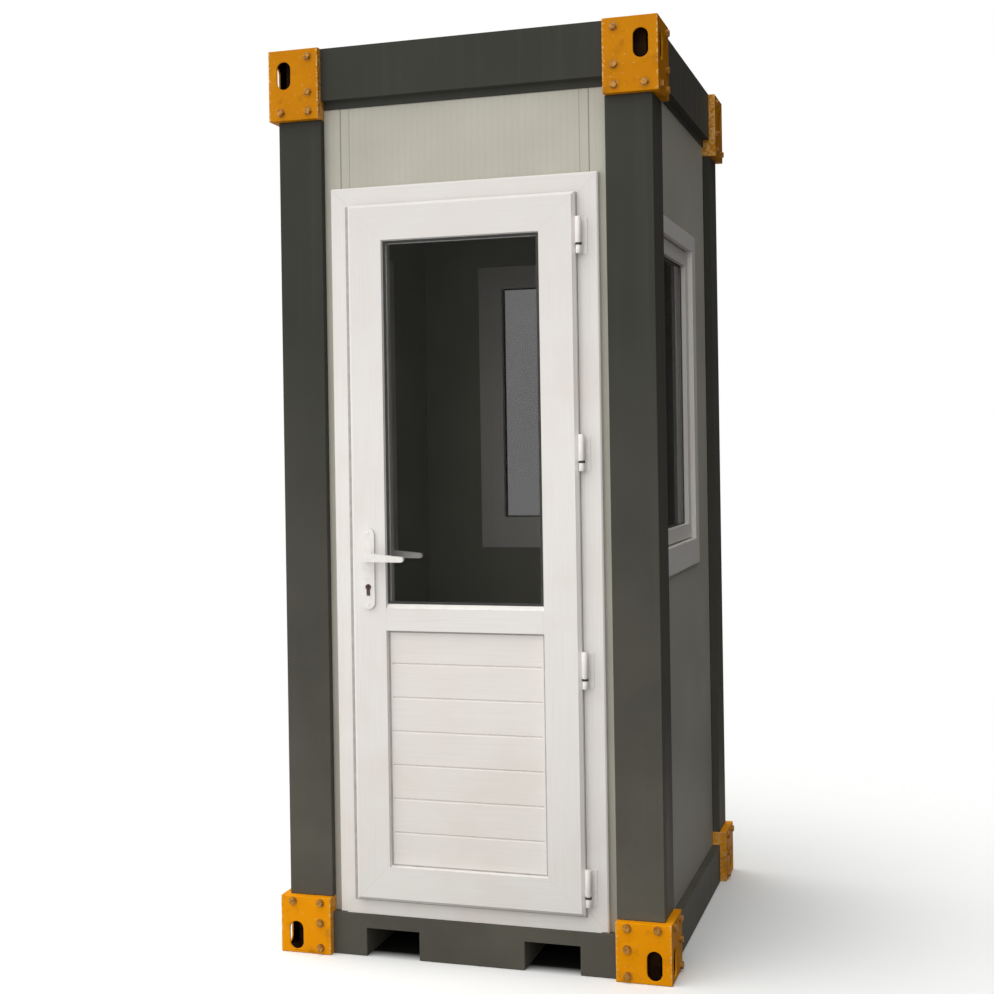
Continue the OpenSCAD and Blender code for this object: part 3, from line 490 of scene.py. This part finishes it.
# Wear in spots of about 3.3 mm.
wear = node("TexNoise", {"Vector": place, "Scale": 1 / 0.0033, "Detail": 2.0})
rubbed = node("MapRange", {0: wear, 1: 0.3, 2: 0.7})
shade = node("Mix", {0: rubbed, 6: "1c1b1a", 7: "34322f"}, **in_colour)
gloss = node("MapRange", {0: wear, 1: 0.3, 2: 0.7, 3: 0.4, 4: 0.6})
finish = node("BsdfPrincipled", {"Base Color": shade, "Roughness": gloss})
node("OutputMaterial", {"Surface": finish})
hinge_low, hinge_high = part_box("hinge_leaf_halves")
levels = np.linspace(hinge_low.z, hinge_high.z - upper_knuckle, hinges) - knuckle_gap / 2
pin_x, pin_y = hinge_high.x - barrel, hinge_low.y + barrel
places = np.stack([np.full(hinges, pin_x), np.full(hinges, pin_y), levels], -1)
outs = np.tile([[0.0, 0.0, 1.0]], (hinges, 1))
radii = np.array([[collar_inner], [collar_outer], [collar_outer], [collar_inner]]) * np.ones(collar_steps)
heights = np.array([-collar_half, -collar_half, collar_half, collar_half])
points, faces = turned_pieces(places, outs, radii, heights, looped=True)
mesh_piece("hinge_gap_shade_collars", points, faces, gap_shade_nylon)

# Rubber seals.
# Extruded rubber strips pressed into grooves: grey ones on the door frame under the leaf flange and round the
# lower boards, and black ones round the door glass and each window pane. Where the grey frame strip shows
# beyond the leaf, it is painted shadow of the leaf's edge.

# Rubber: matt, with no highlight to speak of, and paler where dust clings.
rubber_kinds = (
    ("grey_rubber_seal_and_shadow_line", "9d9993", "b3afa9", 0.6, 0.8),
    ("black_rubber_seal", "1f1f1e", "3a3936", 0.55, 0.75),
)
rubbers = {}
for name, clean, dusty, smooth_part, rough_part in rubber_kinds:
    rubbers[name], node, place = blank(name)
    # Dust in patches of about 25 mm.
    dust = node("TexNoise", {"Vector": place, "Scale": 1 / 0.025, "Detail": 3.0})
    patch = node("MapRange", {0: dust, 1: 0.3, 2: 0.7})
    shade = node("Mix", {0: patch, 6: clean, 7: dusty}, **in_colour)
    gloss = node("MapRange", {0: dust, 1: 0.3, 2: 0.7, 3: smooth_part, 4: rough_part})
    finish = node("BsdfPrincipled", {"Base Color": shade, "Roughness": gloss})
    node("OutputMaterial", {"Surface": finish})


def seal_strip(half, z0, z1, wide, y_front, y_back):
    """A strip round a rectangle as a surface of two parameters, the corner passed and the step round its
    four-sided section: the outer loop runs through (+-half, z0) and (+-half, z1), the inner one lies wide
    inside it."""
    loop = np.array([[-1.0, 0.0], [1.0, 0.0], [1.0, 1.0], [-1.0, 1.0]])
    inset = np.array([0.0, wide, wide, 0.0])
    depth = np.array([y_front, y_front, y_back, y_back])
    across = loop[None, :, 0] * (half - inset[:, None])
    rise = np.where(loop[None, :, 1] > 0.5, z1 - inset[:, None], z0 + inset[:, None])
    points = np.stack([across, np.tile(depth[:, None], (1, 4)), rise], -1)
    return points, grid_faces(4, 4, looped=True).tolist()


proud = 0.0015
# The frame's seal reaches out from under the leaf flange at the lever side and the foot, not at the hinges.
# That grey rim beyond the leaf is painted shadow round the leaf.
seal_wide, seal_out, seal_foot, seal_left = 0.018, 0.008, 0.007, 0.007
frame_front = frame_low.y
points, faces = seal_strip(
    leaf_high.x + seal_out, leaf_low.z - seal_foot, leaf_high.z, seal_wide, frame_front - proud, frame_front
)
mesh_piece("door_frame_seal_shadow_line", points - [seal_left, 0.0, 0.0], faces, rubbers["grey_rubber_seal_and_shadow_line"])
# Glass and boards stand 9 mm deep in the leaf, and the glass 20 mm in the sill.
seat, sill = 0.009, 0.020
glass_wide, board_wide, board_proud, board_sunk = 0.007, 0.0035, 0.0012, 0.0002
glass_low, glass_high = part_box("door_glass")
points, faces = seal_strip(
    glass_high.x - seat, glass_low.z + sill, glass_high.z - seat, glass_wide, glass_low.y - proud, glass_low.y
)
mesh_piece("door_glass_seal", points, faces, rubbers["black_rubber_seal"], body="door")
points, faces = seal_strip(
    board_high.x - seat,
    board_low.z + seat,
    board_high.z - seat,
    board_wide,
    board_low.y - board_proud,
    board_low.y + board_sunk,
)
mesh_piece("lower_board_seal", points, faces, rubbers["grey_rubber_seal_and_shadow_line"], body="door")
# The panes stand 6 mm deep in their sashes. One strip is turned to each wall.
pane_seat, pane_wide = 0.006, 0.004
pane_low, pane_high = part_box("window_panes")
pane_half = window_shift - pane_low.y - pane_seat
strip, faces = seal_strip(pane_half, pane_low.z + pane_seat, pane_high.z - pane_seat, pane_wide, -proud, 0.0)
walls = (
    ("left", -np.pi / 2, -window_shift, pane_high.x),
    ("right", np.pi / 2, window_shift, pane_high.x),
    ("rear", np.pi, 0.0, pane_high.y),
)
for wall, angle, moved, reach in walls:
    x, y, z = np.moveaxis(strip + [moved, -reach, 0.0], -1, 0)
    points = np.stack([x * np.cos(angle) - y * np.sin(angle), x * np.sin(angle) + y * np.cos(angle), z], -1)
    mesh_piece(f"{wall}_window_seal", points, faces, rubbers["black_rubber_seal"])

# Handle screws.
# Two raised-head screws hold each back plate on the leaf, one near its top and one near its foot.
# Their heads are capped with the same white plastic as the plates.
screw_in, screw_radius, screw_rise = 0.014, 0.0042, 0.0014
crown_angle, crown_rings, screw_steps = np.radians(78), 7, 24
plate_low, plate_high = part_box("handle_plates")
middle = (plate_low.x + plate_high.x) / 2
screw_z = np.array([plate_high.z - screw_in, plate_low.z + screw_in])
plate_faces = (plate_low.y, plate_high.y)
places = np.concatenate([np.stack([np.full(2, middle), np.full(2, y), screw_z], -1) for y in plate_faces])
outs = np.repeat([[0.0, -1.0, 0.0], [0.0, 1.0, 0.0]], 2, 0)
arc = np.linspace(0, crown_angle, crown_rings)
radii = screw_radius * np.cos(arc)[:, None] * np.ones(screw_steps)
points, faces = turned_pieces(places, outs, radii, screw_rise * np.sin(arc))
mesh_piece("handle_screws", points, faces, moulded, body="door", smooth=True)

# Glass.
# Float glass with a faint film of dust: clear in the door, where the cabin and the inside lever show through
# it, and tinted grey in the windows. Each face of a sheet holds back its share of the light.

# A smooth hard sheet: a sharp, faint mirror over what is seen through it.
sheets = (("clear_float_glass", "door_glass", 0.175, 0.19), ("grey_float_glass", "window_panes", 0.56, 0.57))
for name, pane, least, most in sheets:
    sheet, node, place = blank(name)
    # Film in patches of about 140 mm.
    film_and_eaves_shade = node("TexNoise", {"Vector": place, "Scale": 1 / 0.14, "Detail": 4.0})
    patch = node("MapRange", {0: film_and_eaves_shade, 1: 0.3, 2: 0.7})
    shade = node("Mix", {0: patch, 6: "161815", 7: "20221f"}, **in_colour)
    held = node("MapRange", {0: film_and_eaves_shade, 1: 0.3, 2: 0.7, 3: least, 4: most})
    gloss = node("MapRange", {0: film_and_eaves_shade, 1: 0.35, 2: 0.75, 3: 0.02, 4: 0.07})
    finish = node("BsdfPrincipled", {"Base Color": shade, "Roughness": gloss, "Alpha": held, "IOR": 1.3})
    node("OutputMaterial", {"Surface": finish})
    dress(sheet, pane)

# Stage: floor, light and camera.
# A pale floor that fades out to white, a surround that is white to look at and as a light dims towards the
# right, one weak broad light from above in front, and a camera where the photograph was taken from.
floor_middle, floor_reach, floor_drop = 0.02, 7.0, 0.0006
rings, spokes = 24, 96
around = np.linspace(0, 2 * np.pi, spokes, endpoint=False)
radii = np.linspace(floor_middle, floor_reach, rings)[:, None]
disc = np.stack([radii * np.cos(around), radii * np.sin(around), np.full((rings, spokes), -floor_drop)], -1)
floor_data = bpy.data.meshes.new("floor")
floor_data.from_pydata(disc.reshape(-1, 3).tolist(), [], grid_faces(rings, spokes).tolist())
floor = bpy.data.objects.new("floor", floor_data)
bpy.context.scene.collection.objects.link(floor)
# Matt painted floor: no shine, pale all round, and near black under the booth itself as painted shadow.
floor_paint, node, place = blank("pale_studio_floor")
x_at, y_at = (node("SeparateXYZ", {0: place}, out=k) for k in range(2))
x_off = node("Math", {0: x_at}, operation="ABSOLUTE")
y_off = node("Math", {0: y_at}, operation="ABSOLUTE")
off_middle = node("Math", {0: x_off, 1: y_off}, operation="MAXIMUM")
# Painted shadow: within the booth's footprint the floor is coloured near black.
clear_of_painted_shadow = node("MapRange", {0: off_middle, 1: 0.50, 2: 0.56})
pale = node("Mix", {0: clear_of_painted_shadow, 6: "20201e", 7: "f8f8f6"}, **in_colour)
# To the light it is a mid grey, and on the dim side it throws little back at the booth.
dim_side = node("MapRange", {0: x_at, 1: 0.1, 2: 0.7})
bounce = node("Mix", {0: dim_side, 6: "989896", 7: "222221"}, **in_colour)
mirrored = node("LightPath", out="Is Glossy Ray")
passed = node("LightPath", out="Is Transmission Ray")
indirect = node("Math", {0: mirrored, 1: passed}, operation="MAXIMUM")
seen = node("Math", {0: node("LightPath", out="Is Camera Ray"), 1: indirect}, operation="MAXIMUM")
matt = node("BsdfDiffuse", {0: node("Mix", {0: seen, 6: bounce, 7: pale}, **in_colour)})
reach = node("VectorMath", {0: place}, out="Value", operation="LENGTH")
fade = node("MapRange", {0: reach, 1: 0.75, 2: 3.0}, interpolation_type="SMOOTHSTEP")
shown = node("MixShader", {0: fade, 1: matt, 2: node("BsdfTransparent")})
node("OutputMaterial", {"Surface": shown})
floor.data.materials.append(floor_paint)

world = bpy.data.worlds.new("white_surround")
bpy.context.scene.world = world
world.use_nodes = True
world.node_tree.nodes.clear()
node = partial(add, world.node_tree)
# The light falls off from the left front to the right rear and grows towards the zenith.
right_share, rear_share = 0.8, 0.6
brightest, dimmest = 2.9, 0.05
low_light = 0.4
heading = node("TexCoord", out="Generated")
east, north, up = (node("SeparateXYZ", {0: heading}, out=k) for k in range(3))
east_part = node("Math", {0: east, 1: right_share}, operation="MULTIPLY")
north_part = node("Math", {0: north, 1: rear_share}, operation="MULTIPLY")
backward = node("Math", {0: east_part, 1: north_part}, operation="ADD")
level = node("MapRange", {0: backward, 1: -0.9, 2: 0.7, 3: brightest, 4: dimmest})
sky = node("Math", {0: up, 1: 0.0}, operation="MAXIMUM")
overhead = node("Math", {0: sky, 1: 2.0}, operation="POWER")
spread = node("Math", {0: overhead, 1: low_light}, operation="ADD")
light = node("Math", {0: level, 1: spread}, operation="MULTIPLY")
# Glass and metal show the white too, except towards the dim right-hand rear.
bright_side = node("MapRange", {0: backward, 1: 0.2, 2: 0.6, 3: 1.0, 4: 0.0})
mirrored = node("Math", {0: node("LightPath", out="Is Glossy Ray"), 1: bright_side}, operation="MULTIPLY")
passed = node("LightPath", out="Is Transmission Ray")
indirect = node("Math", {0: mirrored, 1: passed}, operation="MAXIMUM")
seen = node("Math", {0: node("LightPath", out="Is Camera Ray"), 1: indirect}, operation="MAXIMUM")
power = node("Mix", {0: seen, 2: light, 3: 1.0})
node("OutputWorld", {"Surface": node("Background", {"Color": "ffffff", "Strength": power})})

# A broad lamp far off in front and high up.
key = bpy.data.lights.new("key", "AREA")
key.shape = "DISK"
key.size = 11.0
key.energy = 350.0
lamp = bpy.data.objects.new("key", key)
lamp.location = (0.6, -22.0, 7.2)
lamp.rotation_euler = Euler((np.radians(75), 0.0, np.radians(2)))
bpy.context.scene.collection.objects.link(lamp)

# The camera as it was worked out from the straight edges in the photograph.
image_size = 994
focal_pixels = 1490.25
eye = (1.32362, -4.53641, 1.46785)
turn_left = 0.29847
roll = -0.01552
centre_rise = -53.25
view = bpy.data.cameras.new("camera")
view.sensor_fit = "HORIZONTAL"
view.sensor_width = 36.0
view.lens = focal_pixels * view.sensor_width / image_size
view.shift_y = centre_rise / image_size
camera = bpy.data.objects.new("camera", view)
camera.matrix_world = (
    Matrix.Translation(eye)
    @ Matrix.Rotation(turn_left, 4, "Z")
    @ Matrix.Rotation(np.pi / 2, 4, "X")
    @ Matrix.Rotation(roll, 4, "Z")
)
bpy.context.scene.collection.objects.link(camera)
bpy.context.scene.camera = camera
bpy.context.scene.view_settings.view_transform = "Standard"
